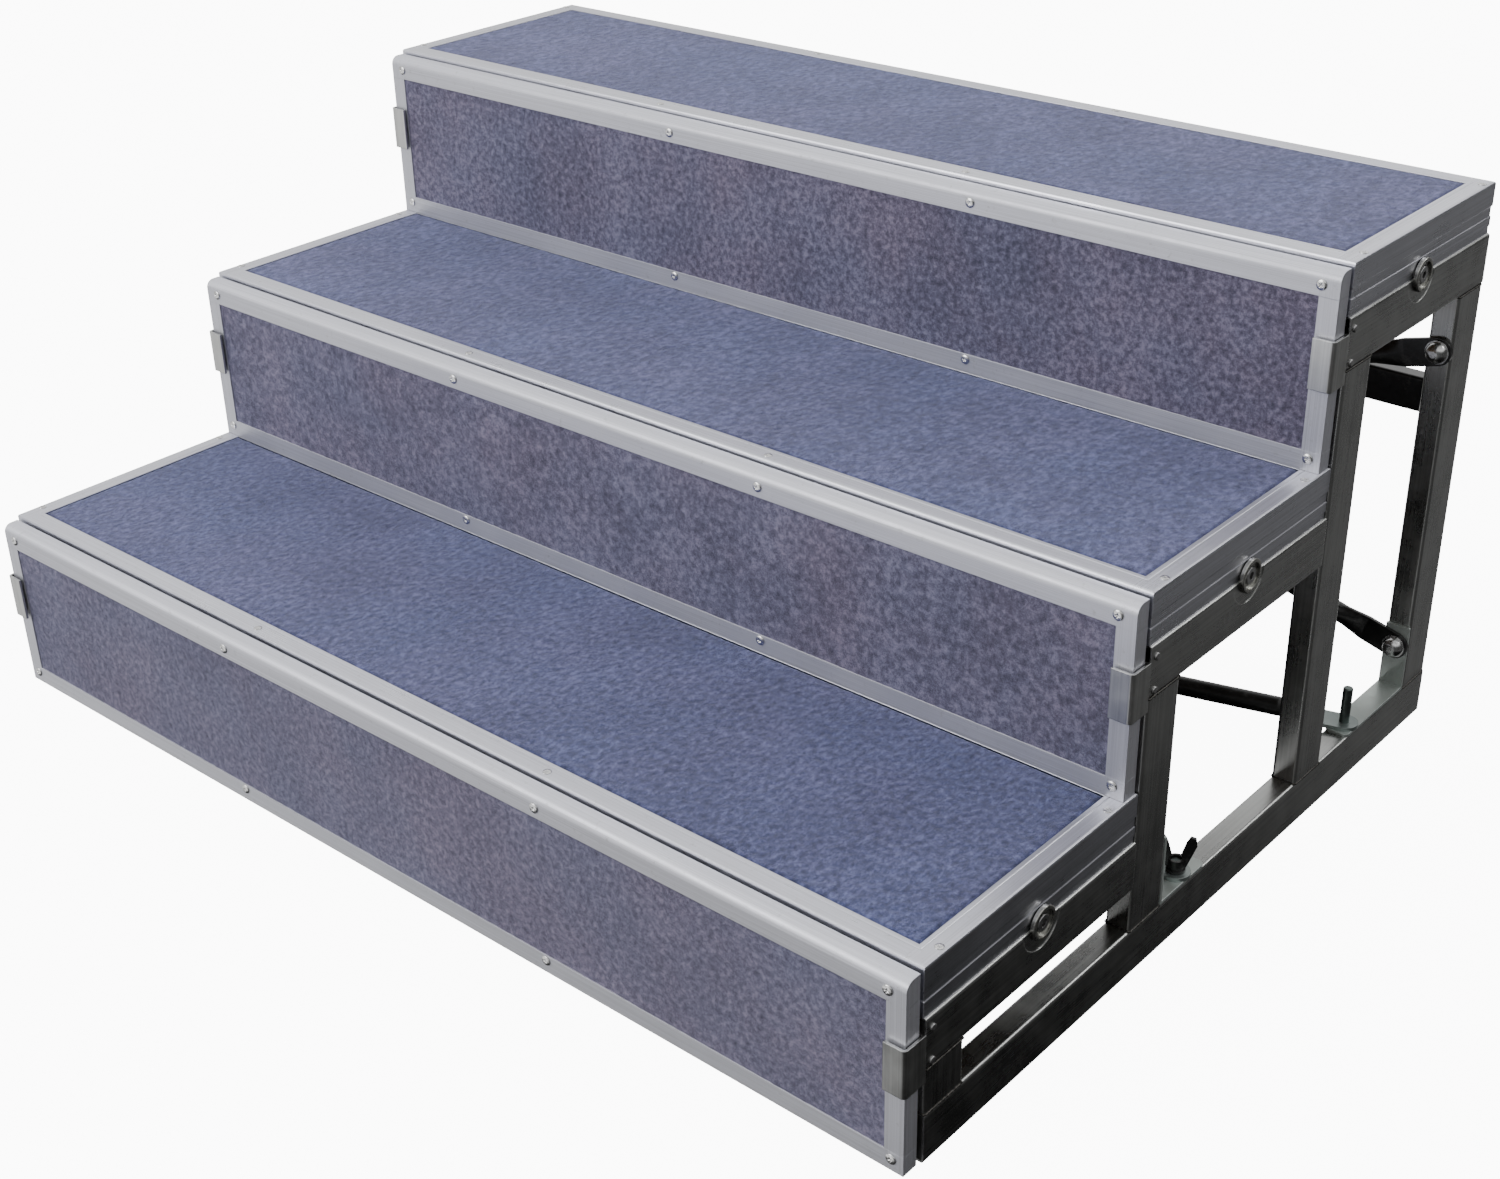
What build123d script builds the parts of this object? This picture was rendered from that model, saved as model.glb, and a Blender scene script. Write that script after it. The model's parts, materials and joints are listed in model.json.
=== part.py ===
from build123d import *
import math
import os

# Three-step portable riser. Millimetres, +X to the right along the treads, +Y to the rear, +Z up.
# Lengths along Y are first measured from the front face of the lowest riser panel; the finished
# pieces are then moved forward so that the origin is under the middle of the footprint.

# ---- driving dimensions ----
FRAME_HALF = 610.0          # outer face of each side frame
TREAD_PITCH = 297.0         # front face of one riser panel to the next
REAR = 895.0                # rear face of the side frames and of the top deck
DECK_TOPS = (195.0, 386.0, 577.0)
STEPS = (0, 1, 2)

TUBE_X = 25.0               # frame tube, measured across the unit
TUBE_H = 50.0               # frame tube, measured in the plane of the side frame
TUBE_WALL = 2.0
TUBE_CORNER = 3.0

DECK_HALF = 608.5
DECK_HEIGHT = 50.0
DECK_GAP = 2.5              # deck to the riser panel in front of it
DECK_UNDERLAP = 20.5        # rear edge of a deck behind the face of the panel that stands on it
EDGE_WEB = 3.0
EDGE_FLANGE = 20.5
EDGE_LEDGE = 23.0
EDGE_BAND = 23.0            # proud band down from the top of the outer face
EDGE_GROOVE = 11.0          # shallow groove below that band
EDGE_FOOT = 6.5             # set-back foot of the outer face
FLANGE_THICK = 2.5
BOARD_LOW = 23.5            # underside of the deck board above the underside of the deck
BOARD_HIGH = 41.5
FLANGE_GROOVE = 0.5

PANEL_HALF = 606.5
PANEL_THICK = 17.0
PANEL_DROP = 5.0            # top of a riser panel below the deck behind it
NOSING_HEIGHT = 24.0
FOOT_STRIP_HEIGHT = 19.0
SIDE_STRIP_WIDTH = 19.0
CHANNEL_WALL = 2.0
PANEL_CARPET = 3.0
BROW_RADIUS = 9.0
MID_SCREWS = ((-222.0, 210.0), (-196.0, 210.0), (-163.0, 225.0))    # drilled by hand, not evenly

HOOK_SHEET = 2.5
HOOK_PROUD = 5.0            # front of a hook ahead of its riser panel
HOOK_HEIGHT = 47.0
HOOK_BELOW_RAIL_TOP = 15.0
HOOK_LIP = 21.5
POST_SETBACK = 21.5         # riser panel face to post face

LOCK_Y = (176.0, 475.0, 750.5)
LOCK_RISE = 0.5             # lock axis above the top of the deck rail
BUSH_RADIUS = 11.0
RING_RADIUS = 16.0
RING_PROUD = 3.0
HEAD_RADIUS = 8.0           # end of the spindle that shows inside the ring
SHAFT_RADIUS = 5.0
CAM_RADIUS = 17.0
CAM_FLAT = 4.5
SLIDING_GAP = 0.05
SOCKET_DEPTH = 7.0
SOCKET_RADIUS = 4.0         # across the corners of the hexagon

BRACE_RADIUS = 10.0
BRACE_TAB_LENGTH = 34.0
BRACE_TAB_WIDTH = 28.0
BRACE_TAB_THICK = 4.0
BRACE_TAPER = 32.0
BOLT_RADIUS = 4.0
STUD_RADIUS = 5.0
BRACKET_SHEET = 3.0
REAR_STUD_Y = 740.0
FRONT_STUD_Y = 415.0
STUD_TOP = 96.0
HIGH_BOLT_Z = 421.0
LOW_BOLT_Z = 100.0
BRACKET_TOP = 122.0
REAR_LIFTS = ((0.0, -25.0), (25.0, 0.0))    # tube axis ahead of the high and low ends, each arm
FLOOR_LIFTS = ((3.0, 3.0), (24.0, 24.0))    # tube axis above the rear and front ends, each brace

BEAM_Y = (860.0, 880.0)
BEAM_Z = (347.0, 383.0)

# ---- sizes worked out from them ----
Y_CENTRE = (REAR - HOOK_PROUD) / 2.0
DECK_BOTTOMS = tuple(top - DECK_HEIGHT for top in DECK_TOPS)
RAIL_BOTTOMS = tuple(bottom - TUBE_H for bottom in DECK_BOTTOMS)
PANEL_FACES = tuple(step * TREAD_PITCH for step in STEPS)
POST_FACES = tuple(face + POST_SETBACK for face in PANEL_FACES)
REAR_POST_FACE = REAR - TUBE_H
PANEL_BOTTOMS = (0.0, DECK_TOPS[0], DECK_TOPS[1])
PANEL_TOPS = tuple(top - PANEL_DROP for top in DECK_TOPS)
TUBE_CENTRE_X = FRAME_HALF - TUBE_X / 2.0
DECK_FRONTS = tuple(face + PANEL_THICK + DECK_GAP for face in PANEL_FACES)
DECK_REARS = (PANEL_FACES[1] + DECK_UNDERLAP, PANEL_FACES[2] + DECK_UNDERLAP, REAR)
RAIL_REARS = (POST_FACES[1], POST_FACES[2], REAR)


def block(x0, x1, y0, y1, z0, z1):
    """A box between two corners."""
    centre = ((x0 + x1) / 2, (y0 + y1) / 2, (z0 + z1) / 2)
    return Pos(*centre) * Box(abs(x1 - x0), abs(y1 - y0), abs(z1 - z0))


def rod_x(radius, x0, x1, y, z):
    """A cylinder along X."""
    return extrude(Plane(origin=(x0, y, z), x_dir=(0, 1, 0), z_dir=(1, 0, 0)) * Circle(radius), x1 - x0)


def rod_y(radius, x, y0, y1, z):
    """A cylinder along Y."""
    return extrude(Plane(origin=(x, y0, z), x_dir=(1, 0, 0), z_dir=(0, 1, 0)) * Circle(radius), y1 - y0)


def rod_z(radius, x, y, z0, z1):
    """A cylinder along Z."""
    return extrude(Plane(origin=(x, y, z0)) * Circle(radius), z1 - z0)


def mirrored(shape):
    """The same piece for the other side of the unit."""
    return mirror(shape, about=Plane.YZ)


def save(name, solids):
    """Move a piece, or a group of like pieces, to the unit's own frame and write it."""
    moved = [Pos(0, -Y_CENTRE, 0) * solid for shape in solids for solid in shape.solids()]
    export_step(Compound(children=moved) if len(moved) > 1 else moved[0], f"parts/{name}.step")


# ---- side frames ----
def frame_tube(plane, width, height, length):
    """Rectangular tube with rounded corners, open at both ends."""
    inner = TUBE_WALL * 2
    section = RectangleRounded(width, height, TUBE_CORNER)
    section -= RectangleRounded(width - inner, height - inner, TUBE_CORNER - TUBE_WALL)
    return extrude(plane * section, length)


def rail(y0, y1, z0):
    """Tube along Y on the right side."""
    plane = Plane(origin=(TUBE_CENTRE_X, y0, z0 + TUBE_H / 2), x_dir=(1, 0, 0), z_dir=(0, 1, 0))
    return frame_tube(plane, TUBE_X, TUBE_H, y1 - y0)


def post(y0, z0, z1):
    """Tube along Z on the right side."""
    plane = Plane(origin=(TUBE_CENTRE_X, y0 + TUBE_H / 2, z0))
    return frame_tube(plane, TUBE_X, TUBE_H, z1 - z0)


def deck_rail(step):
    """Rail under a deck, let out at the middle for the lock bush and the lock cam."""
    shape = rail(POST_FACES[step], RAIL_REARS[step], RAIL_BOTTOMS[step])
    y = LOCK_Y[step]
    top = DECK_BOTTOMS[step]
    shape -= rod_x(BUSH_RADIUS, FRAME_HALF - 14, FRAME_HALF + 1, y, top + LOCK_RISE)
    shape -= rod_x(26.0, FRAME_HALF - 0.8, FRAME_HALF + 1, y, top + LOCK_RISE)
    slot = CAM_RADIUS + 1.5
    shape -= block(FRAME_HALF - 22.5, FRAME_HALF - 13.5, y - slot, y + slot, top - 3, top + 1)
    return shape


def panel_hook(step):
    """Bent strip on the post face that holds the side of a riser panel."""
    face = PANEL_FACES[step]
    top = DECK_BOTTOMS[step] - HOOK_BELOW_RAIL_TOP
    bottom = top - HOOK_HEIGHT
    front = face - HOOK_PROUD
    rear = POST_FACES[step]
    outer = FRAME_HALF
    shape = block(outer - HOOK_LIP, outer, front, front + HOOK_SHEET, bottom, top)
    shape += block(outer - HOOK_SHEET, outer, front, rear, bottom, top)
    shape += block(outer - HOOK_LIP, outer, rear - HOOK_SHEET, rear, bottom, top)
    uprights = shape.edges().filter_by(Axis.Z)
    outside = uprights.sort_by_distance((outer, front, top))[0]
    shape = fillet(outside, 4.0)
    uprights = shape.edges().filter_by(Axis.Z)
    inside = uprights.sort_by_distance((outer - HOOK_SHEET, front + HOOK_SHEET, top))[0]
    return fillet(inside, 1.5)


def lock_bush(step):
    """Collar in the rail with a raised ring outside, which carries the lock spindle."""
    y = LOCK_Y[step]
    z = DECK_BOTTOMS[step] + LOCK_RISE
    seat = FRAME_HALF - 0.8
    shape = rod_x(BUSH_RADIUS, FRAME_HALF - 14, seat, y, z)
    ring = rod_x(RING_RADIUS, seat, FRAME_HALF + RING_PROUD, y, z)
    rim = ring.edges().filter_by(GeomType.CIRCLE).sort_by(Axis.X)[-1]
    shape += fillet(rim, 1.2)
    shape -= rod_x(12.5, FRAME_HALF + 0.5, FRAME_HALF + RING_PROUD + 1, y, z)
    shape -= rod_x(HEAD_RADIUS + 0.5, FRAME_HALF - 6.0, FRAME_HALF + 1, y, z)
    shape -= rod_x(SHAFT_RADIUS + SLIDING_GAP, FRAME_HALF - 20, FRAME_HALF + 1, y, z)
    return shape


def lock_spindle(step):
    """Turned by a hexagon key from outside; its half-round cam lies inside the rail at rest."""
    y = LOCK_Y[step]
    z = DECK_BOTTOMS[step] + LOCK_RISE
    head_out = FRAME_HALF + 2.0
    head = rod_x(HEAD_RADIUS, FRAME_HALF - 5.7, head_out, y, z)
    rim = head.edges().filter_by(GeomType.CIRCLE).sort_by(Axis.X)[-1]
    shape = fillet(rim, 0.8)
    shape += rod_x(SHAFT_RADIUS, FRAME_HALF - 21.5, FRAME_HALF - 5.0, y, z)
    cam_in = FRAME_HALF - 21.0
    cam_out = FRAME_HALF - 15.0
    cam = rod_x(CAM_RADIUS, cam_in, cam_out, y, z)
    cam -= block(cam_in - 1, cam_out + 1, y - 30, y + 30, z - CAM_FLAT, z + 30)
    shape += cam
    shape += rod_x(8.0, cam_in, cam_out, y, z)
    socket = Plane(origin=(head_out - SOCKET_DEPTH, y, z), x_dir=(0, 1, 0), z_dir=(1, 0, 0))
    return shape - extrude(socket * RegularPolygon(SOCKET_RADIUS, 6), SOCKET_DEPTH + 1)


def bracket(stud_y, post_face, reach):
    """Bent plate in the corner between the base rail and a post. reach is its other end."""
    x0 = FRAME_HALF - TUBE_X
    inward = math.copysign(1.0, reach - post_face)
    shape = block(x0, FRAME_HALF, post_face, reach, TUBE_H, TUBE_H + BRACKET_SHEET)
    upright = post_face + inward * BRACKET_SHEET
    shape += block(x0, FRAME_HALF, post_face, upright, TUBE_H, BRACKET_TOP)
    shape -= rod_z(STUD_RADIUS, TUBE_CENTRE_X, stud_y, TUBE_H - 1, TUBE_H + BRACKET_SHEET + 1)
    shape -= rod_y(BOLT_RADIUS, TUBE_CENTRE_X, post_face - 10, post_face + 10, LOW_BOLT_Z)
    ends = shape.edges().filter_by(Axis.Z).sort_by_distance((TUBE_CENTRE_X, reach, TUBE_H))[:2]
    return fillet(ends, 6.0)


def brace_stud(x, y, top):
    """Upright stud on a corner bracket; the end of a floor brace drops over it."""
    stud = rod_z(STUD_RADIUS, x, y, TUBE_H, top)
    tip = stud.edges().filter_by(GeomType.CIRCLE).sort_by(Axis.Z)[-1]
    return fillet(tip, 1.5)


def wing_nut(x, y, z):
    """Wing nut on a stud: a hub and two wings that lean outwards."""
    shape = rod_z(9.0, x, y, z, z + 3.0)
    shape += rod_z(7.5, x, y, z + 3.0, z + 13.0)
    wing = [(3.0, 3.5), (9.0, 4.5), (12.5, 14.0), (17.5, 28.0)]
    wing += [(16.5, 35.0), (11.5, 36.5), (8.0, 30.0), (3.0, 13.0)]
    plane = Plane(origin=(x, y, z), x_dir=(0.85, 0.53, 0), z_dir=(0.53, -0.85, 0))
    for side in (-1, 1):
        outline = make_face(Polyline(*[(side * reach, rise) for reach, rise in wing], close=True))
        shape += extrude(plane * outline, 1.8, both=True)
    return shape - rod_z(STUD_RADIUS, x, y, z - 1, z + 17)


# ---- braces ----
def brace(start, end, flat_normal, lifts):
    """Round brace with its ends pressed flat and drilled; its tube stands off by a lift at each end."""
    a = Vector(*start)
    b = Vector(*end)
    normal = Vector(*flat_normal)
    level = (b - a) - normal * (b - a).dot(normal)
    along = level.normalized()
    across = normal.cross(along).normalized()
    bends = []
    tabs = []
    for origin, direction, lift in ((a, along, lifts[0]), (b, along * -1, lifts[1])):
        middle = Plane(origin=origin + direction * (BRACE_TAB_LENGTH / 2), x_dir=direction, z_dir=normal)
        tab = extrude(middle * Rectangle(BRACE_TAB_LENGTH, BRACE_TAB_WIDTH), BRACE_TAB_THICK / 2, both=True)
        nose = Plane(origin=origin, x_dir=direction, z_dir=normal)
        tabs.append(tab + extrude(nose * Circle(BRACE_TAB_WIDTH / 2), BRACE_TAB_THICK / 2, both=True))
        bends.append(origin + direction * (BRACE_TAB_LENGTH + BRACE_TAPER) + normal * lift)
    tube = (bends[1] - bends[0]).normalized()
    rounds = [Plane(origin=bend, x_dir=across, z_dir=tube) for bend in bends]
    shape = extrude(rounds[0] * Circle(BRACE_RADIUS), (bends[1] - bends[0]).length)
    for tab, origin, direction, end_round in zip(tabs, (a, b), (along, along * -1), rounds):
        flat = Plane(origin=origin + direction * BRACE_TAB_LENGTH, x_dir=across, z_dir=along)
        shape += loft([flat * Rectangle(BRACE_TAB_WIDTH, BRACE_TAB_THICK), end_round * Circle(BRACE_RADIUS)])
        shape += tab
    return shape


def drilled(shape, holes):
    """Cut clearance for the bolts or studs that pass through."""
    for hole in holes:
        shape -= hole
    return shape


def brace_bolt(x, z, y_head, y_end):
    """Bolt along Y with a domed head outside the brace."""
    shape = rod_y(BOLT_RADIUS, x, y_head, y_end, z)
    shape += rod_y(12.0, x, y_head - 2.0, y_head, z)
    dome = rod_y(10.5, x, y_head - 11.0, y_head - 2.0, z)
    front = dome.edges().filter_by(GeomType.CIRCLE).sort_by(Axis.Y)[0]
    return shape + fillet(front, 7.5)


# ---- decks ----
def edge_profile():
    """Section of the deck edging: width inward, height up from the underside."""
    web = EDGE_WEB
    top = DECK_HEIGHT
    under = top - FLANGE_THICK
    line = EDGE_FLANGE - 5.0
    band = top - EDGE_BAND
    groove = band - EDGE_GROOVE
    points = [
        (EDGE_LEDGE, 0), (EDGE_LEDGE, 4.0), (web, 4.0),
        (web, BOARD_LOW - FLANGE_THICK), (EDGE_LEDGE, BOARD_LOW - FLANGE_THICK),
        (EDGE_LEDGE, BOARD_LOW), (web, BOARD_LOW),
        (web, under), (EDGE_FLANGE, under), (EDGE_FLANGE, top - 0.6), (EDGE_FLANGE - 0.6, top),
        (line + 0.7, top), (line, top - FLANGE_GROOVE), (line - 0.7, top),
        (2.2, top), (0.6, top - 0.7), (0, top - 2.2),
        (0, band), (1.0, band - 1.5), (1.0, groove + 1.0), (0.3, groove),
        (0.3, EDGE_FOOT + 0.7), (1.0, EDGE_FOOT), (1.0, 0),
    ]
    return make_face(Polyline(*points, close=True))


def mitred_edge(corner, along, inward, length):
    """One length of deck edging, cut at 45 degrees at both ends."""
    bar = extrude(Plane(origin=corner, x_dir=inward, z_dir=along) * edge_profile(), length)
    width = EDGE_LEDGE + 2
    outline = make_face(Polyline((0, 0), (length, 0), (length - width, width), (width, width), close=True))
    plan = Plane(origin=corner, x_dir=along, z_dir=(0, 0, 1))
    return bar & extrude(plan.offset(-1) * outline, DECK_HEIGHT + 4)


def deck_edges(step):
    """The four lengths of edging; the side lengths are slotted over the locks."""
    x = DECK_HALF
    y0 = DECK_FRONTS[step]
    y1 = DECK_REARS[step]
    z = DECK_BOTTOMS[step]
    front = mitred_edge((-x, y0, z), (1, 0, 0), (0, 1, 0), 2 * x)
    right = mitred_edge((x, y0, z), (0, 1, 0), (-1, 0, 0), y1 - y0)
    rear = mitred_edge((x, y1, z), (-1, 0, 0), (0, -1, 0), 2 * x)
    y = LOCK_Y[step]
    axis = z + LOCK_RISE
    clear = BUSH_RADIUS + 1
    right -= rod_x(clear, x - EDGE_WEB - 1, x + 1, y, axis)
    right -= block(x - EDGE_WEB - 1, x + 1, y - clear, y + clear, z - 1, axis)
    right -= block(x - EDGE_LEDGE - 1, x - EDGE_WEB, y - clear - 0.5, y + CAM_RADIUS + 1.5, z - 1, z + 5)
    return [front, right, rear, mirrored(right)]


def screw_points_deck(step):
    """Screw centres on the top flange: one by each corner and a pair along the front."""
    inset = EDGE_FLANGE / 2 - 2.5
    y0 = DECK_FRONTS[step]
    y1 = DECK_REARS[step] if step == 2 else PANEL_FACES[step + 1]
    x = DECK_HALF - 6.5
    points = []
    for side in (-1, 1):
        points += [(side * 200.0, y0 + inset), (side * x, y0 + 27.0), (side * x, y1 - 17.0)]
    if step == 2:
        points += [(side * 200.0, y1 - inset) for side in (-1, 1)]
    return points


def screw_down(x, y, z_top, depth):
    """Raised countersunk screw driven downwards."""
    shank = rod_z(1.75, x, y, z_top - depth, z_top)
    head = rod_z(4.0, x, y, z_top, z_top + 1.0)
    rim = head.edges().filter_by(GeomType.CIRCLE).sort_by(Axis.Z)[-1]
    return shank + fillet(rim, 0.8)


def deck(step):
    """Nodes of one deck: board, carpet, edging, screws."""
    x = DECK_HALF
    y0 = DECK_FRONTS[step]
    y1 = DECK_REARS[step]
    z = DECK_BOTTOMS[step]
    inner = EDGE_WEB + 0.3
    board = block(-x + inner, x - inner, y0 + inner, y1 - inner, z + BOARD_LOW, z + BOARD_HIGH)
    carpet_top = z + DECK_HEIGHT - FLANGE_THICK
    carpet = block(-x + inner, x - inner, y0 + inner, y1 - inner, z + BOARD_HIGH, carpet_top)
    points = screw_points_deck(step)
    holes = [rod_z(1.75, px, py, z + BOARD_HIGH - 12.5, z + DECK_HEIGHT + 1) for px, py in points]
    screws = [screw_down(px, py, z + DECK_HEIGHT, DECK_HEIGHT - BOARD_HIGH + 12.5) for px, py in points]
    edges = [edge - Compound(children=[Pos(0, 0, 0) * hole for hole in holes]) for edge in deck_edges(step)]
    cutter = Compound(children=holes)
    return {
        "board": [board - cutter],
        "carpet": [carpet - cutter],
        "edging": edges,
        "screws": screws,
    }


# ---- riser panels ----
def channel(x0, x1, y0, z0, z1, void):
    """Edging strip as a box with its channel void cut out."""
    return block(x0, x1, y0, y0 + PANEL_THICK, z0, z1) - void


def screw_front(x, y_face, z, depth):
    """Round-head screw driven in from the front."""
    shank = rod_y(1.75, x, y_face, y_face + depth, z)
    head = rod_y(5.0, x, y_face - 2.0, y_face, z)
    rim = head.edges().filter_by(GeomType.CIRCLE).sort_by(Axis.Y)[0]
    return shank + fillet(rim, 1.7)


def riser_panel(step):
    """Nodes of one riser panel: board, carpet, edging, screws."""
    x = PANEL_HALF
    y = PANEL_FACES[step]
    z0 = PANEL_BOTTOMS[step]
    z1 = PANEL_TOPS[step]
    wall = CHANNEL_WALL
    void = block(-x + wall, x - wall, y + wall, y + PANEL_THICK - wall, z0 + wall, z1 - 2.5)
    brow = void.edges().filter_by(Axis.X).sort_by_distance((0, y, z1))[0]
    void = fillet(brow, BROW_RADIUS - wall)
    split = y + wall + PANEL_CARPET
    fit = 0.2
    board = void & block(-x + wall + fit, x - wall - fit, split, y + PANEL_THICK, z0, z1)
    carpet = void & block(-x + wall + fit, x - wall - fit, y, split, z0, z1)
    nosing = block(-x, x, y, y + PANEL_THICK, z1 - NOSING_HEIGHT, z1)
    brow = nosing.edges().filter_by(Axis.X).sort_by_distance((0, y, z1))[0]
    nosing = fillet(brow, BROW_RADIUS) - void
    foot = channel(-x, x, y, z0, z0 + FOOT_STRIP_HEIGHT, void)
    side = channel(x - SIDE_STRIP_WIDTH, x, y, z0 + FOOT_STRIP_HEIGHT, z1 - NOSING_HEIGHT, void)
    nosing_z = z1 - 13.5
    foot_z = z0 + 12.0
    points = []
    for sign, middle in zip((-1, 1), MID_SCREWS[step]):
        points += [(sign * (x - 17.5), nosing_z), (middle, nosing_z)]
        points += [(sign * (x - 12.0), foot_z), (middle, foot_z + 1.5)]
    holes = Compound(children=[rod_y(1.75, px, y - 1, y + 14.0, pz) for px, pz in points])
    screws = [screw_front(px, y, pz, 14.0) for px, pz in points]
    strips = [nosing - holes, foot - holes, side, mirrored(side)]
    return {"board": [board - holes], "carpet": [carpet - holes], "edging": strips, "screws": screws}


# ---- small parts of the side frames ----
def rivet_points(step):
    """Rivet centres in the outer face of a deck rail, close to its front end."""
    y = POST_FACES[step] + 8.0
    return [(y, DECK_BOTTOMS[step] - 12.0), (y, RAIL_BOTTOMS[step] + 6.0)]


def frame_rivets(step):
    """Two dome rivets in the outer face of the frame behind each riser panel."""
    solids = []
    for y, z in rivet_points(step):
        shank = rod_x(2.0, FRAME_HALF - TUBE_WALL, FRAME_HALF, y, z)
        head = rod_x(3.5, FRAME_HALF, FRAME_HALF + 1.6, y, z)
        rim = head.edges().filter_by(GeomType.CIRCLE).sort_by(Axis.X)[-1]
        solids.append(shank + fillet(rim, 1.2))
    return solids


def end_plug(y, inward, z0):
    """Plastic plug in the open end of a rail."""
    plane = Plane(origin=(TUBE_CENTRE_X, y, z0 + TUBE_H / 2), x_dir=(1, 0, 0), z_dir=(0, inward, 0))
    size_x = TUBE_X - 2 * TUBE_WALL
    size_z = TUBE_H - 2 * TUBE_WALL
    return extrude(plane * RectangleRounded(size_x, size_z, TUBE_CORNER - TUBE_WALL), 9.0)


def build_side_frames():
    """Everything welded, riveted or bolted to the two side frames."""
    right = {
        "base_rail": rail(POST_FACES[0], REAR, 0.0),
        "front_post": post(POST_FACES[0], TUBE_H, RAIL_BOTTOMS[0]),
        "second_post": post(POST_FACES[1], TUBE_H, RAIL_BOTTOMS[1]),
        "third_post": post(POST_FACES[2], TUBE_H, RAIL_BOTTOMS[2]),
        "rear_post": post(REAR_POST_FACE, TUBE_H, RAIL_BOTTOMS[2]),
    }
    for step in STEPS:
        right[f"deck_rail_{step + 1}"] = deck_rail(step)
    bolt_hole = rod_y(BOLT_RADIUS, TUBE_CENTRE_X, REAR_POST_FACE - 1, REAR + 1, HIGH_BOLT_Z)
    low_hole = rod_y(BOLT_RADIUS, TUBE_CENTRE_X, REAR_POST_FACE - 1, REAR + 1, LOW_BOLT_Z)
    right["rear_post"] = right["rear_post"] - bolt_hole - low_hole
    for stud_y in (FRONT_STUD_Y, REAR_STUD_Y):
        right["base_rail"] -= rod_z(STUD_RADIUS, TUBE_CENTRE_X, stud_y, TUBE_H - 5, TUBE_H + 1)
    for step in STEPS:
        for y, z in rivet_points(step):
            right[f"deck_rail_{step + 1}"] -= rod_x(2.0, FRAME_HALF - 4, FRAME_HALF + 1, y, z)
    for name, shape in right.items():
        save(f"{name}_right", [shape])
        save(f"{name}_left", [mirrored(shape)])
    for step in STEPS:
        spindle = lock_spindle(step)
        save(f"lock_spindle_right_{step + 1}", [spindle])
        save(f"lock_spindle_left_{step + 1}", [mirrored(spindle)])
    groups = {
        "rear_corner_brackets": [bracket(REAR_STUD_Y, REAR_POST_FACE, REAR_STUD_Y - 18.0)],
        "front_corner_brackets": [bracket(FRONT_STUD_Y, POST_FACES[1] + TUBE_H, FRONT_STUD_Y + 32.0)],
        "panel_hooks": [panel_hook(step) for step in STEPS],
        "lock_bushes": [lock_bush(step) for step in STEPS],
        "frame_rivets": [rivet for step in STEPS for rivet in frame_rivets(step)],
        "rail_end_plugs": [
            end_plug(POST_FACES[0], 1, 0.0),
            end_plug(REAR, -1, 0.0),
            end_plug(POST_FACES[0], 1, RAIL_BOTTOMS[0]),
            end_plug(REAR, -1, RAIL_BOTTOMS[2]),
        ],
    }
    for name, shapes in groups.items():
        save(name, shapes + [mirrored(shape) for shape in shapes])


def build_braces():
    """Rear cross beam, rear X brace, floor-level diagonals and their fasteners."""
    x = TUBE_CENTRE_X
    reach = FRAME_HALF - TUBE_X
    beam_plane = Plane(
        origin=(-reach, sum(BEAM_Y) / 2, sum(BEAM_Z) / 2), x_dir=(0, 1, 0), z_dir=(1, 0, 0)
    )
    beam = frame_tube(beam_plane, BEAM_Y[1] - BEAM_Y[0], BEAM_Z[1] - BEAM_Z[0], 2 * reach)
    save("rear_cross_beam", [beam])
    half = BRACE_TAB_THICK / 2
    high_y = REAR_POST_FACE - half
    low_y = high_y - BRACKET_SHEET
    bolts = []
    for name, lifts, side in (("rear_brace_a", REAR_LIFTS[0], 1), ("rear_brace_b", REAR_LIFTS[1], -1)):
        high = (side * x, high_y, HIGH_BOLT_Z)
        low = (-side * x, low_y, LOW_BOLT_Z)
        shape = brace(high, low, (0, -1, 0), lifts)
        holes = [rod_y(BOLT_RADIUS, ex, ey - 5, ey + 5, ez) for ex, ey, ez in (high, low)]
        save(name, [drilled(shape, holes)])
        bolts += [brace_bolt(ex, ez, ey - half, REAR) for ex, ey, ez in (high, low)]
    save("rear_brace_bolts", bolts)
    seat = TUBE_H + BRACKET_SHEET
    level = seat + half
    studs = []
    nuts = []
    for name, lifts, side in (("floor_brace_a", FLOOR_LIFTS[0], 1), ("floor_brace_b", FLOOR_LIFTS[1], -1)):
        rear = (side * x, REAR_STUD_Y, level)
        front = (-side * x, FRONT_STUD_Y, level)
        shape = brace(rear, front, (0, 0, 1), lifts)
        holes = [rod_z(STUD_RADIUS, ex, ey, ez - 5, ez + 5) for ex, ey, ez in (rear, front)]
        save(name, [drilled(shape, holes)])
        studs += [brace_stud(rear[0], rear[1], STUD_TOP), brace_stud(front[0], front[1], level + 13.0)]
        nuts.append(wing_nut(front[0], front[1], level + half))
    save("brace_studs", studs)
    save("brace_wing_nuts", nuts)


def main():
    os.makedirs("parts", exist_ok=True)
    build_side_frames()
    build_braces()
    for step in STEPS:
        for kind, solids in deck(step).items():
            save(f"deck_{step + 1}_{kind}", solids)
        for kind, solids in riser_panel(step).items():
            save(f"riser_{step + 1}_{kind}", solids)


main()
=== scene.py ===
import json
import math
import random

import bmesh
import bpy
from mathutils import Matrix, Vector, noise


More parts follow.
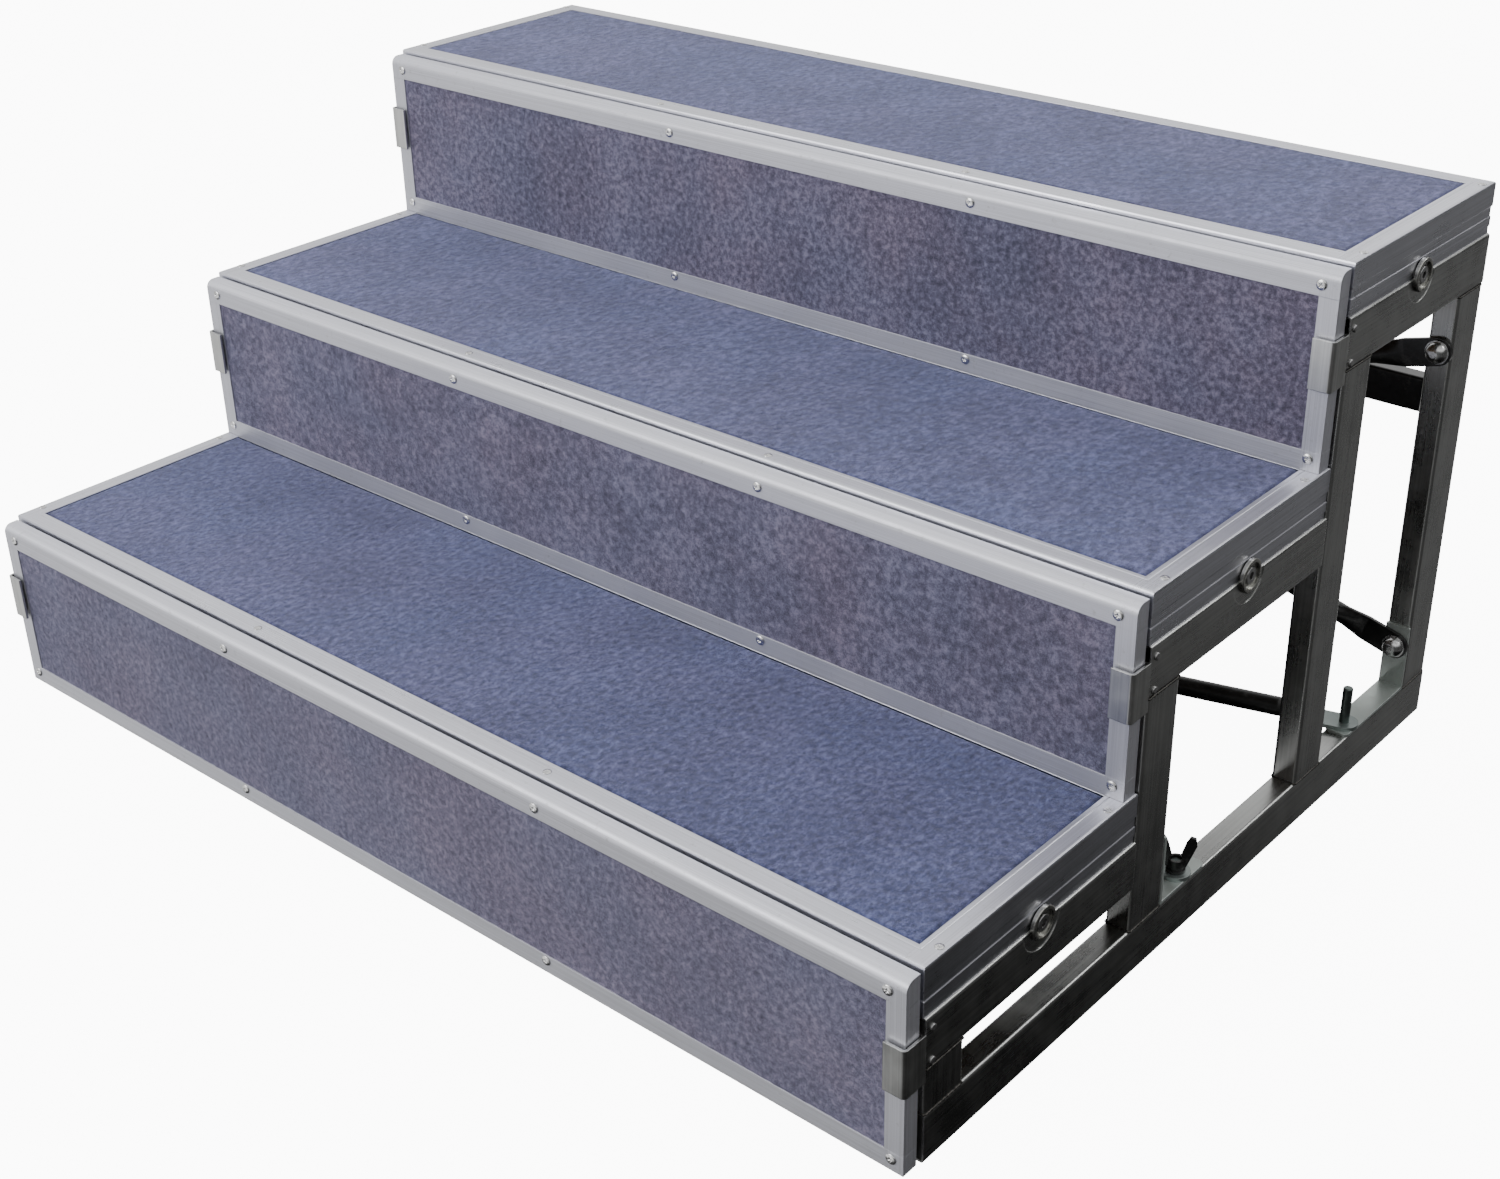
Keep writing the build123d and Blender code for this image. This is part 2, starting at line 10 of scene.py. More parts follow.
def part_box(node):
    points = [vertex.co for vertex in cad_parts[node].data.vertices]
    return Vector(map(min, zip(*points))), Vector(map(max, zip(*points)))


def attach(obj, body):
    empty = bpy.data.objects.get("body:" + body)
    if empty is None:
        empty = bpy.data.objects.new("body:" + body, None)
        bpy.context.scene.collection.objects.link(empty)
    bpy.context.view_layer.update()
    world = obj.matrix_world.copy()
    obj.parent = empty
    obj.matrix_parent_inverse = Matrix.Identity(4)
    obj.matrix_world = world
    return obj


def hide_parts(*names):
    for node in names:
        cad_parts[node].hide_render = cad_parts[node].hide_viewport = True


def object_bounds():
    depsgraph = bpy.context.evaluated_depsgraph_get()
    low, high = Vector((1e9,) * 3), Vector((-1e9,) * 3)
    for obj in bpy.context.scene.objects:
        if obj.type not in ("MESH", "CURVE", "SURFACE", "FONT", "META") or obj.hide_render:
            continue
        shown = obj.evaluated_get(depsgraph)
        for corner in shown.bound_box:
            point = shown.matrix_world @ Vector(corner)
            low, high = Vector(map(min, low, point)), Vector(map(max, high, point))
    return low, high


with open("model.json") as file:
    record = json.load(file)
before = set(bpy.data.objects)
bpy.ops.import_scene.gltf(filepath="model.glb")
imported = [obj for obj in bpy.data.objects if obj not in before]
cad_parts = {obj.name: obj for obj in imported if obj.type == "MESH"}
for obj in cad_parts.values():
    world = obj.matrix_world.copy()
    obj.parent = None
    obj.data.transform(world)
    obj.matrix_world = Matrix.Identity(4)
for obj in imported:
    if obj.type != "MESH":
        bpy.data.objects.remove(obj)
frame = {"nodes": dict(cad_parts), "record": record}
cad_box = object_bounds()
NODES = frame["nodes"]
STEPS = (1, 2, 3)
SIDES = {"right": 1.0, "left": -1.0}
POSTS = ("front_post", "second_post", "third_post", "rear_post")

# ---- camera, as the photograph was taken ----
CAMERA_X = 1.3365
CAMERA_AHEAD = 0.9915           # in front of the lowest riser panel
CAMERA_Z = 1.1869
CAMERA_AZIMUTH = 41.45          # degrees right of straight ahead
CAMERA_ELEVATION = 28.37
CAMERA_ROLL = -1.29
CAMERA_LENS = 50.5              # millimetres, on a 36 mm sensor

# ---- light levels ----
KEY_WATTS = 62.0
TOP_WATTS = 16.0
EDGE_WATTS = 20.0
WORLD_LEVEL = 0.80
FLOOR_GLOW = 10.5

# ---- carpets, metres ----
TREAD_CELL = 0.0022
TREAD_LOFT = 0.0019             # mean rise of the pile above the CAD carpet
RISER_LOFT = 0.0008
TREAD_TUCK = (0.0172, 0.0024)   # hidden under the flange, then rising over this width
RISER_TUCK = (0.0, 0.004)
PILE_HEIGHT = 0.0007
PILE_SAG = 0.0004
PILE_TUFTS = 170.0              # noise frequency of the pile's height, per metre
STEP_SHIFT = 0.00001            # added per step, so that no two carpets have the same pattern
RIM_DROP = 0.0012               # how far the tucked rim lies below the top of the CAD carpet
PILE_BASE = 0.0024              # and its flat underside
COOL_TINT = (0.935, 0.99, 1.03)
WARM_TINT = (1.07, 0.985, 0.975)

# brightness of the surround by height and by side, at places from -1 to 1
WORLD_BY_HEIGHT = (
    (-1.0, 0.08), (-0.60, 0.10), (-0.52, 1.70), (-0.40, 2.00), (-0.25, 1.80),
    (0.0, 1.40), (0.28, 1.50), (0.50, 1.65), (0.75, 1.00), (1.0, 0.80))
WORLD_BY_SIDE = (
    (-1.0, 0.60), (-0.75, 0.70), (-0.35, 1.0), (-0.05, 0.70), (0.22, 0.085), (1.0, 0.055))
SIDE_FADE = (0.28, 0.58)        # height over which the dark side gives way to the bright top

# ---- small metal parts, metres ----
DECK_HEAD_RISE = 0.0010
RISER_HEAD_RISE = 0.0020
HEAD_SINK = 0.0002              # rim of a screw head below the face it sits on
WELD_RADIUS = 0.0011
WELD_INSET = 0.0012             # length of the cut corner where a bead turns
WELD_PITCH = 0.0016             # length of one ripple
WELD_CLEAR = 0.0016             # the beads stay this far inside the back of the unit
CORNER_SHADE_REACH = 0.0022          # how close two metal faces are where painted shade darkens the corner

random.seed(11)

# ---- places along X, metres: sizes from the CAD, then widths of its strips ----
PANEL_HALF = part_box("riser_1_edging")[1].x
DECK_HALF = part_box("deck_1_edging")[1].x
FRAME_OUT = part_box("base_rail_right")[1].x
FRAME_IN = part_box("base_rail_right")[0].x
SIDE_STRIP = 0.019              # width of a riser panel's side strips
DECK_FLANGE = 0.0205            # width of the deck edging's top flange
PRESSED_END = 0.030             # how far the zinc ends of the floor braces reach in from the frame


# ================= node helpers =================
class Shader:
    """A node material with one Principled shader, and short calls to add nodes to it."""

    def __init__(self, name, **sockets):
        self.material = bpy.data.materials.new(name)
        self.material.use_nodes = True
        self.tree = self.material.node_tree
        self.tree.nodes.clear()
        out = self.tree.nodes.new("ShaderNodeOutputMaterial")
        self.bsdf = self.tree.nodes.new("ShaderNodeBsdfPrincipled")
        self.join(self.bsdf.outputs[0], out.inputs["Surface"])
        self.coords = self.tree.nodes.new("ShaderNodeTexCoord").outputs["Object"]
        self.edge_normal = None
        for socket, value in sockets.items():
            self.bsdf.inputs[socket.replace("_", " ")].default_value = value

    def round_edges(self, radius):
        """Shade the edges as if they were rounded by radius."""
        node = self.tree.nodes.new("ShaderNodeBevel")
        node.samples = 6
        node.inputs["Radius"].default_value = radius
        self.edge_normal = node.outputs[0]

    def corner_shade(self, reach):
        """1 in corners that other surfaces close in within reach, 0 on open faces: the mask for
        painted shade in corners.
        """
        occlusion = self.node("ShaderNodeAmbientOcclusion", {"Distance": reach}, samples=8)
        return self.ramp(occlusion.outputs["AO"], [(0.35, grey(1.0)), (0.62, grey(0.0))])

    def join(self, a, b):
        self.tree.links.new(a, b)

    def node(self, kind, inputs=(), **settings):
        node = self.tree.nodes.new(kind)
        for key, value in settings.items():
            setattr(node, key, value)
        for key, value in dict(inputs).items():
            if isinstance(value, bpy.types.NodeSocket):
                self.join(value, node.inputs[key])
            else:
                node.inputs[key].default_value = value
        return node

    def sided(self, limit):
        """1 where the point is further than limit from the middle of the unit, 0 elsewhere."""
        return self.math("GREATER_THAN", self.math("ABSOLUTE", self.axis("X")), limit)

    def upward(self):
        """1 on faces that look up, falling to 0 as they turn upright."""
        normal = self.node("ShaderNodeTexCoord").outputs["Normal"]
        inputs = {"Value": self.node("ShaderNodeSeparateXYZ", {0: normal}).outputs["Z"]}
        inputs |= {"From Min": 0.30, "From Max": 0.75}
        return self.node("ShaderNodeMapRange", inputs).outputs[0]

    def axis(self, letter):
        """The point's distance from the frame's origin along one axis, in metres."""
        return self.node("ShaderNodeSeparateXYZ", {0: self.coords}).outputs[letter]

    def scaled(self, value, low, high):
        """value from 0..1 to low..high."""
        inputs = {"Value": value, "To Min": low, "To Max": high}
        return self.node("ShaderNodeMapRange", inputs).outputs[0]

    def stretched(self, scale):
        return self.node("ShaderNodeMapping", {"Vector": self.coords, "Scale": scale}).outputs[0]

    def noise(self, scale, detail=2.0, roughness=0.5, vector=None):
        inputs = {"Vector": vector or self.coords, "Scale": scale, "Detail": detail}
        inputs["Roughness"] = roughness
        return self.node("ShaderNodeTexNoise", inputs).outputs["Fac"]

    def math(self, operation, a, b=0.0):
        return self.node("ShaderNodeMath", {0: a, 1: b}, operation=operation).outputs[0]

    def blend(self, *parts):
        """Sum of (value, weight) pairs."""
        total = None
        for value, weight in parts:
            part = self.math("MULTIPLY", value, weight)
            total = part if total is None else self.math("ADD", total, part)
        return total

    def ramp(self, value, stops):
        node = self.node("ShaderNodeValToRGB", {"Fac": value})
        elements = node.color_ramp.elements
        while len(elements) < len(stops):
            elements.new(0.5)
        for element, (place, colour) in zip(elements, stops):
            element.position = place
            element.color = (*colour, 1.0)
        return node.outputs["Color"]

    def multiplied(self, factor, colour, by):
        """colour times by, as far as factor says."""
        inputs = {0: factor, 6: colour, 7: by}
        node = self.node("ShaderNodeMix", inputs, data_type="RGBA", blend_type="MULTIPLY")
        return node.outputs[2]

    def mix(self, factor, a, b):
        node = self.node("ShaderNodeMix", data_type="RGBA")
        for index, value in ((0, factor), (6, a), (7, b)):
            if isinstance(value, bpy.types.NodeSocket):
                self.join(value, node.inputs[index])
            elif index:
                node.inputs[index].default_value = (*value, 1.0)
            else:
                node.inputs[index].default_value = value
        return node.outputs[2]

    def colour(self, value):
        self.join(value, self.bsdf.inputs["Base Color"])

    def rough(self, value):
        self.join(value, self.bsdf.inputs["Roughness"])

    def bump(self, *heights):
        """Stack of (height, strength, distance in metres) over the rounded edges."""
        normal = self.edge_normal
        for height, strength, distance in heights:
            inputs = {"Height": height, "Strength": strength, "Distance": distance}
            if normal is not None:
                inputs["Normal"] = normal
            normal = self.node("ShaderNodeBump", inputs).outputs[0]
        self.join(normal, self.bsdf.inputs["Normal"])


def grey(value):
    return (value, value, value)


# ================= materials =================
def carpet_material(name, dark, middle, light, coarse):
    """Cut pile: single fibres over tufts, matt with some sheen. coarse is the tuft frequency."""
    shader = Shader(
        name, Roughness=0.95, Sheen_Weight=0.55, Sheen_Roughness=0.5,
        Sheen_Tint=(0.70, 0.73, 1.0, 1.0))
    fibre = shader.noise(1100.0, 3.0, 0.75)
    tuft = shader.noise(1.0, 4.0, 0.72, shader.stretched((coarse, coarse * 0.6, coarse)))
    strand = shader.noise(1.0, 2.0, 0.6, shader.stretched((260.0, 520.0, 380.0)))
    patch = shader.noise(9.0, 3.0, 0.55)
    blend = shader.blend((fibre, 0.25), (tuft, 0.55), (strand, 0.08), (patch, 0.12))
    pile = shader.ramp(blend, [(0.40, dark), (0.50, middle), (0.60, light)])
    tint = shader.ramp(shader.noise(6.0, 6.0, 0.62), [(0.38, COOL_TINT), (0.62, WARM_TINT)])
    shader.colour(shader.multiplied(1.0, pile, tint))
    shader.bump((tuft, 0.35, 0.0014), (fibre, 0.9, 0.0010))
    return shader.material


def aluminium_material(name, side_scale, side_limit, shine, tone, metallic, top_highlight):
    """Mill-finish aluminium: die lines along each length, handling marks and dull patches.

    The last argument is how much brighter the faces that look up are painted: a painted highlight
    from the light above.
    """
    shader = Shader(name)
    shader.round_edges(0.0007)
    long_lines = shader.noise(1.0, 3.0, 0.6, shader.stretched((5.0, 1500.0, 1500.0)))
    side_lines = shader.noise(1.0, 3.0, 0.6, shader.stretched(side_scale))
    choice = {0: shader.sided(side_limit), 2: long_lines, 3: side_lines}
    lines = shader.node("ShaderNodeMix", choice).outputs[0]
    cloud = shader.noise(16.0, 5.0, 0.62)
    scuff = shader.noise(130.0, 6.0, 0.72)
    low = (tone * 0.72, tone * 0.725, tone * 0.785)
    high = (tone * 0.98, tone * 0.99, tone * 1.08)
    base = shader.mix(shader.ramp(lines, [(0.28, grey(0.0)), (0.72, grey(1.0))]), low, high)
    worn = shader.ramp(scuff, [(0.60, grey(0.0)), (0.72, grey(0.55))])
    base = shader.mix(worn, base, grey(tone * 0.55))
    upward = shader.upward()
    # painted highlight: faces that look up are brightened as if lit from above
    base = shader.multiplied(upward, base, (*grey(top_highlight), 1.0))
    # painted shade: corners that other faces close in are darkened towards a near-black tone
    shader.colour(shader.mix(shader.corner_shade(CORNER_SHADE_REACH), base, grey(tone * 0.12)))
    shader.join(shader.scaled(upward, metallic, metallic * 0.72), shader.bsdf.inputs["Metallic"])
    dull = shader.scaled(cloud, shine - 0.10, shine + 0.18)
    rough = shader.math("ADD", dull, shader.scaled(lines, -0.05, 0.07))
    shader.rough(shader.math("ADD", rough, shader.math("MULTIPLY", worn, 0.3)))
    shader.bump((lines, 0.30, 0.00025), (scuff, 0.15, 0.0003))
    return shader.material


def tube_material(name, tone, stretch, gloss=0.27):
    """Steel tube under thin dark satin paint, with drawn lines along it and a few worn spots."""
    shader = Shader(name, Metallic=1.0)
    shader.round_edges(0.0009)
    lines = shader.noise(1.0, 4.0, 0.62, shader.stretched(stretch))
    cloud = shader.noise(24.0, 5.0, 0.6)
    chip = shader.noise(210.0, 5.0, 0.7)
    peel = shader.noise(520.0, 2.0, 0.5)
    low = tuple(channel * 0.80 for channel in tone)
    high = tuple(channel * 1.22 for channel in tone)
    blend = shader.blend((lines, 0.55), (cloud, 0.45))
    base = shader.ramp(blend, [(0.36, low), (0.50, tone), (0.66, high)])
    chipped = shader.ramp(chip, [(0.70, grey(0.0)), (0.76, grey(0.4))])
    shader.colour(shader.mix(chipped, base, (0.30, 0.30, 0.29)))
    dull = shader.scaled(cloud, gloss - 0.12, gloss + 0.14)
    shader.rough(shader.math("ADD", dull, shader.scaled(lines, -0.06, 0.08)))
    shader.bump((lines, 0.035, 0.0002), (peel, 0.02, 0.0001))
    return shader.material


def brace_material(name):
    """Black satin coating, rubbed where the braces are handled."""
    shader = Shader(name, Metallic=0.3, Coat_Weight=0.5, Coat_Roughness=0.2)
    shader.round_edges(0.0008)
    rub = shader.noise(70.0, 6.0, 0.7)
    peel = shader.noise(480.0, 2.0, 0.5)
    shader.colour(shader.ramp(rub, [(0.30, grey(0.006)), (0.58, grey(0.013)), (0.70, grey(0.06))]))
    shader.rough(shader.scaled(rub, 0.22, 0.46))
    shader.bump((peel, 0.2, 0.0003))
    return shader.material


def floor_brace_material(name, tab_limit):
    """Black coating along the tube; the pressed ends keep their zinc beyond tab_limit."""
    shader = Shader(name, Coat_Weight=0.3, Coat_Roughness=0.25)
    shader.round_edges(0.0008)
    rub = shader.noise(70.0, 6.0, 0.7)
    cells = shader.node("ShaderNodeTexVoronoi", {"Vector": shader.coords, "Scale": 170.0})
    spangle = shader.noise(1.0, 1.0, 0.5, cells.outputs["Position"])
    black = shader.ramp(rub, [(0.30, grey(0.006)), (0.58, grey(0.014)), (0.70, grey(0.07))])
    zinc = shader.ramp(spangle, [(0.35, (0.30, 0.345, 0.335)), (0.65, (0.46, 0.51, 0.495))])
    place = shader.math("ABSOLUTE", shader.axis("X"))
    ragged = shader.math("ADD", place, shader.scaled(rub, -0.006, 0.006))
    bare = shader.math("GREATER_THAN", ragged, tab_limit)
    shader.colour(shader.mix(bare, black, zinc))
    shader.join(shader.math("MULTIPLY", bare, 0.85), shader.bsdf.inputs["Metallic"])
    shader.rough(shader.scaled(rub, 0.24, 0.52))
    shader.bump((rub, 0.2, 0.0004))
    return shader.material


def metal_material(name, tone, rough=0.3):
    """Plated steel with fine wear."""
    shader = Shader(name, Metallic=1.0)
    shader.round_edges(0.0005)
    wear = shader.noise(260.0, 5.0, 0.65)
    low = tuple(channel * 0.62 for channel in tone)
    shader.colour(shader.ramp(wear, [(0.3, low), (0.62, tone)]))
    shader.rough(shader.scaled(wear, rough - 0.1, rough + 0.16))
    shader.bump((wear, 0.25, 0.0003))
    return shader.material


def galvanised_material(name, tone):
    """Zinc sheet with its spangle and a little white stain."""
    shader = Shader(name, Metallic=0.65)
    shader.round_edges(0.0010)
    cells = shader.node("ShaderNodeTexVoronoi", {"Vector": shader.coords, "Scale": 160.0})
    spangle = shader.noise(1.0, 1.0, 0.5, cells.outputs["Position"])
    low = tuple(channel * 0.72 for channel in tone)
    high = tuple(min(1.0, channel * 1.25) for channel in tone)
    stain = shader.noise(90.0, 5.0, 0.65)
    base = shader.ramp(spangle, [(0.35, low), (0.65, high)])
    stained = shader.ramp(stain, [(0.56, grey(0.0)), (0.70, grey(0.5))])
    shader.colour(shader.mix(stained, base, (0.50, 0.53, 0.51)))
    shader.rough(shader.scaled(stain, 0.22, 0.55))
    shader.bump((stain, 0.25, 0.0004))
    return shader.material


def plywood_material(name, layer_axis):
    """Plain plywood: face veneer with grain along the board, and faint plies along layer_axis."""
    shader = Shader(name, Roughness=0.72)
    grain = shader.noise(1.0, 6.0, 0.62, shader.stretched((2.5, 60.0, 60.0)))
    figure = shader.noise(1.0, 2.0, 0.5, shader.stretched((1.2, 14.0, 14.0)))
    pores = shader.noise(1.0, 2.0, 0.6, shader.stretched((26.0, 1000.0, 1000.0)))
    blend = shader.blend((grain, 0.6), (figure, 0.4))
    # plywood tones, kept darker than bare plywood: painted shade for the undersides, which lie in
    # the unit's shadow
    stops = [(0.32, (0.18, 0.11, 0.058)), (0.5, (0.30, 0.20, 0.115)), (0.68, (0.40, 0.29, 0.175))]
    base = shader.ramp(blend, stops)
    ply = shader.math("SINE", shader.math("MULTIPLY", shader.axis(layer_axis), 2200.0))
    base = shader.mix(shader.scaled(ply, 0.0, 0.10), base, (0.20, 0.12, 0.06))
    shader.colour(shader.mix(shader.math("MULTIPLY", pores, 0.35), base, (0.20, 0.12, 0.065)))
    shader.bump((pores, 0.35, 0.0004), (grain, 0.2, 0.0006))
    return shader.material


def plastic_material(name):
    """Moulded plastic with a fine spark-eroded grain."""
    shader = Shader(name)
    shader.round_edges(0.0006)
    grain = shader.noise(900.0, 3.0, 0.6)
    dust = shader.noise(60.0, 4.0, 0.6)
    shader.colour(shader.ramp(dust, [(0.35, grey(0.012)), (0.70, grey(0.035))]))
    shader.rough(shader.scaled(grain, 0.42, 0.62))
    shader.bump((grain, 0.4, 0.0003))
    return shader.material


def weld_material(name):
    """Weld bead under the same paint, with heat tint in its ripples."""
    shader = Shader(name, Metallic=0.8)
    ripple = shader.noise(420.0, 3.0, 0.6)
    shader.colour(
        shader.ramp(ripple, [(0.35, (0.030, 0.029, 0.027)), (0.65, (0.12, 0.115, 0.105))]))
    shader.rough(shader.scaled(ripple, 0.22, 0.5))
    shader.bump((ripple, 0.4, 0.0006))
    return shader.material


TREAD_COLOURS = ((0.018, 0.022, 0.068), (0.058, 0.067, 0.174), (0.178, 0.197, 0.42))
RISER_COLOURS = ((0.045, 0.040, 0.070), (0.119, 0.108, 0.172), (0.270, 0.250, 0.36))
TUBE_TONE = (0.42, 0.425, 0.415)
ALONG_POST = (420.0, 420.0, 4.0)    # noise scales that draw lines up a post, or along a rail
ALONG_RAIL = (420.0, 4.0, 420.0)
ALONG_DECK_SIDE = (1500.0, 5.0, 1500.0)
ALONG_PANEL_SIDE = (1500.0, 1500.0, 5.0)
FINISHES = {
    "tread_carpet": carpet_material("tread_pile", *TREAD_COLOURS, 185.0),
    "riser_carpet": carpet_material("riser_felt", *RISER_COLOURS, 165.0),
    "deck_board": plywood_material("deck_plywood", "Z"),
    "riser_board": plywood_material("riser_plywood", "Y"),
    "edge_aluminium": aluminium_material(
        "deck_edging", ALONG_DECK_SIDE, DECK_HALF - DECK_FLANGE,
        shine=0.26, tone=0.80, metallic=1.0, top_highlight=1.12),
    "screw_steel": metal_material("screw_plate", grey(0.86), 0.22),
    "frame_paint": tube_material("rail_grey", TUBE_TONE, ALONG_RAIL),
    "hook_metal": tube_material("hook_grey", (0.54, 0.545, 0.535), ALONG_POST, 0.34),
    "lock_ring": metal_material("ring_steel", (0.52, 0.52, 0.49), 0.26),
    "lock_steel": metal_material("lock_plate", grey(0.55), 0.28),
    "rivet_metal": metal_material("rivet_plate", grey(0.5), 0.35),
    "plug_plastic": plastic_material("plug_black"),
    "bracket_zinc": galvanised_material("bracket_galvanised", (0.60, 0.655, 0.625)),
    "brace_paint": brace_material("brace_black"),
    "bolt_steel": metal_material("bolt_plate", grey(0.68), 0.22),
    "stud_steel": metal_material("stud_plate", (0.16, 0.19, 0.18), 0.35),
    "wing_nut_paint": brace_material("wing_nut_black"),
}
PANEL_ALUMINIUM = aluminium_material(
    "panel_edging", ALONG_PANEL_SIDE, PANEL_HALF - SIDE_STRIP,
    shine=0.38, tone=0.69, metallic=0.62, top_highlight=1.38)
POST_PAINT = tube_material("post_grey", TUBE_TONE, ALONG_POST)
FLOOR_BRACE = floor_brace_material("floor_brace_black", FRAME_IN - PRESSED_END)
WELD = weld_material("weld_bead")


def dress_nodes():
    """Give each CAD node the finish of its record slot, or its own where the slot's differs."""
    special = {f"riser_{step}_edging": PANEL_ALUMINIUM for step in STEPS}
    special |= {f"{post}_{side}": POST_PAINT for post in POSTS for side in SIDES}
    special |= {"floor_brace_a": FLOOR_BRACE, "floor_brace_b": FLOOR_BRACE}
    for entry in frame["record"]["subparts"]:
        finish = special.get(entry["node"], FINISHES[entry["material_slot"]])
        for slot in NODES[entry["node"]].material_slots:
            slot.material = finish


# ================= meshes =================
def joined(meshes):
    """One list of points and one of faces from several (points, faces) pairs."""
    verts, faces = [], []
    for more_verts, more_faces in meshes:
        faces += [tuple(index + len(verts) for index in face) for face in more_faces]
        verts += more_verts
    return verts, faces


def add_piece(name, verts, faces, material, body):
    """A smooth-shaded mesh that moves with body."""
    mesh = bpy.data.meshes.new(name)
    mesh.from_pydata(verts, [], faces)
    mesh.validate()
    mesh.update()
    mesh.materials.append(material)
    mesh.polygons.foreach_set("use_smooth", [True] * len(mesh.polygons))
    piece = bpy.data.objects.new(name, mesh)
    bpy.context.scene.collection.objects.link(piece)
    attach(piece, body)
    return piece


def carpet_grid(across, up, nx, ny, place, loft, tuck):
    """Grid of nx by ny cells over across by up metres, lifted by the pile, its rim tucked down."""
    verts = []
    for j in range(ny + 1):
        for i in range(nx + 1):
            u = across * i / nx
            v = up * j / ny
            rim = (min(u, across - u, v, up - v) - tuck[0]) / tuck[1]
            rim = math.sin(min(max(rim, 0.0), 1.0) * math.pi / 2)
            point = Vector((u * PILE_TUFTS, v * PILE_TUFTS, loft * 9000.0))
            tuft = noise.noise(point) + 0.5 * noise.noise(point * 2.3)
            sag = noise.noise(Vector((u * 5.0, v * 5.0, loft * 3000.0)))
            height = rim * (loft + PILE_HEIGHT * tuft + PILE_SAG * sag) - (1.0 - rim) * RIM_DROP
            verts.append(place(u, v, height))
    row = nx + 1
    corners = [j * row + i for j in range(ny) for i in range(nx)]
    faces = [(corner, corner + 1, corner + row + 1, corner + row) for corner in corners]
    rim_loop = list(range(nx)) + [j * row + nx for j in range(ny)]
    rim_loop += [ny * row + nx - i for i in range(nx)] + [(ny - j) * row for j in range(ny)]
    base = len(verts)
    for index in rim_loop:
        j, i = divmod(index, row)
        verts.append(place(across * i / nx, up * j / ny, -PILE_BASE))
    count = len(rim_loop)
    for k in range(count):
        nxt = (k + 1) % count
        faces.append((rim_loop[nxt], rim_loop[k], base + k, base + nxt))
    faces.append(tuple(base + k for k in reversed(range(count))))
    return verts, faces


def lay_carpets():
    """Pile over each deck and riser board, in place of the plain CAD carpet."""
    for step in STEPS:
        low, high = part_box(f"deck_{step}_carpet")
        nx = round((high.x - low.x) / TREAD_CELL)
        ny = round((high.y - low.y) / TREAD_CELL)
        verts, faces = carpet_grid(
            high.x - low.x, high.y - low.y, nx, ny,
            lambda u, v, h: (low.x + u, low.y + v, high.z + h),
            TREAD_LOFT + STEP_SHIFT * step, TREAD_TUCK)
        finish = FINISHES["tread_carpet"]
        piece = add_piece(f"tread_pile_{step}", verts, faces, finish, f"deck_{step}")
        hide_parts(f"deck_{step}_carpet")
        low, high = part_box(f"riser_{step}_carpet")
        nx = round((high.x - low.x) / TREAD_CELL)
        ny = round((high.z - low.z) / TREAD_CELL)
        verts, faces = carpet_grid(
            high.x - low.x, high.z - low.z, nx, ny,
            lambda u, v, h: (low.x + u, low.y - h, low.z + v),
            RISER_LOFT + STEP_SHIFT * step, RISER_TUCK)
        finish = FINISHES["riser_carpet"]
        piece = add_piece(f"riser_felt_{step}", verts, faces, finish, f"riser_{step}")
        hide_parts(f"riser_{step}_carpet")


# ================= small metal pieces =================
def screw_head(centre, out, across, radius, rise):
    """Domed head with a cross recess: a polar height field. out points away from the surface."""
    rings, spokes = 14, 56
    arm_width, arm_length, recess = 0.13, 0.46, 0.45    # shares of the radius, and of the rise
    third = out.cross(across)
    spoke_ways = []
    for spoke in range(spokes):
        angle = 2 * math.pi * spoke / spokes
        spoke_ways.append(across * math.cos(angle) + third * math.sin(angle))
    verts = []
    turn = random.uniform(0.0, math.pi / 2)
    for ring in range(rings + 1):
        reach = radius * ring / rings
        dome = rise * math.sqrt(max(0.0, 1.0 - 0.82 * (reach / radius) ** 2.4))
        for spoke in range(spokes):
            angle = 2 * math.pi * spoke / spokes
            a = reach * math.cos(angle + turn)
            b = reach * math.sin(angle + turn)
            arm = min(abs(a), abs(b)) / (radius * arm_width)
            span = max(abs(a), abs(b)) / (radius * arm_length)
            depth = max(0.0, 1.0 - arm ** 4) * max(0.0, 1.0 - span ** 3)
            lift = dome - depth * rise * recess
            verts.append(centre + spoke_ways[spoke] * reach + out * lift)
    base = len(verts)
    verts += [centre + way * radius - out * HEAD_SINK for way in spoke_ways]
    faces = []
    for ring in range(rings + 1):
        inner = ring * spokes
        outer = inner + spokes if ring < rings else base
        for spoke in range(spokes):
            nxt = (spoke + 1) % spokes
            faces.append((inner + spoke, outer + spoke, outer + nxt, inner + nxt))
    faces.append(tuple(base + spoke for spoke in reversed(range(spokes))))
    return verts, faces


def node_islands(node):
    """Lowest and highest corner of each separate solid in a CAD node."""
    mesh = bmesh.new()
    mesh.from_mesh(NODES[node].data)
    bmesh.ops.remove_doubles(mesh, verts=mesh.verts, dist=1e-6)
    left = set(mesh.verts)
    boxes = []
    while left:
        stack = [left.pop()]
        low, high = stack[0].co.copy(), stack[0].co.copy()
        while stack:
            vert = stack.pop()
            low = Vector(map(min, low, vert.co))
            high = Vector(map(max, high, vert.co))
            for edge in vert.link_edges:
                other = edge.other_vert(vert)
                if other in left:
                    left.remove(other)
                    stack.append(other)
        boxes.append((low, high))
    mesh.free()
    return sorted(boxes, key=lambda box: tuple(round(value, 4) for value in box[0]))


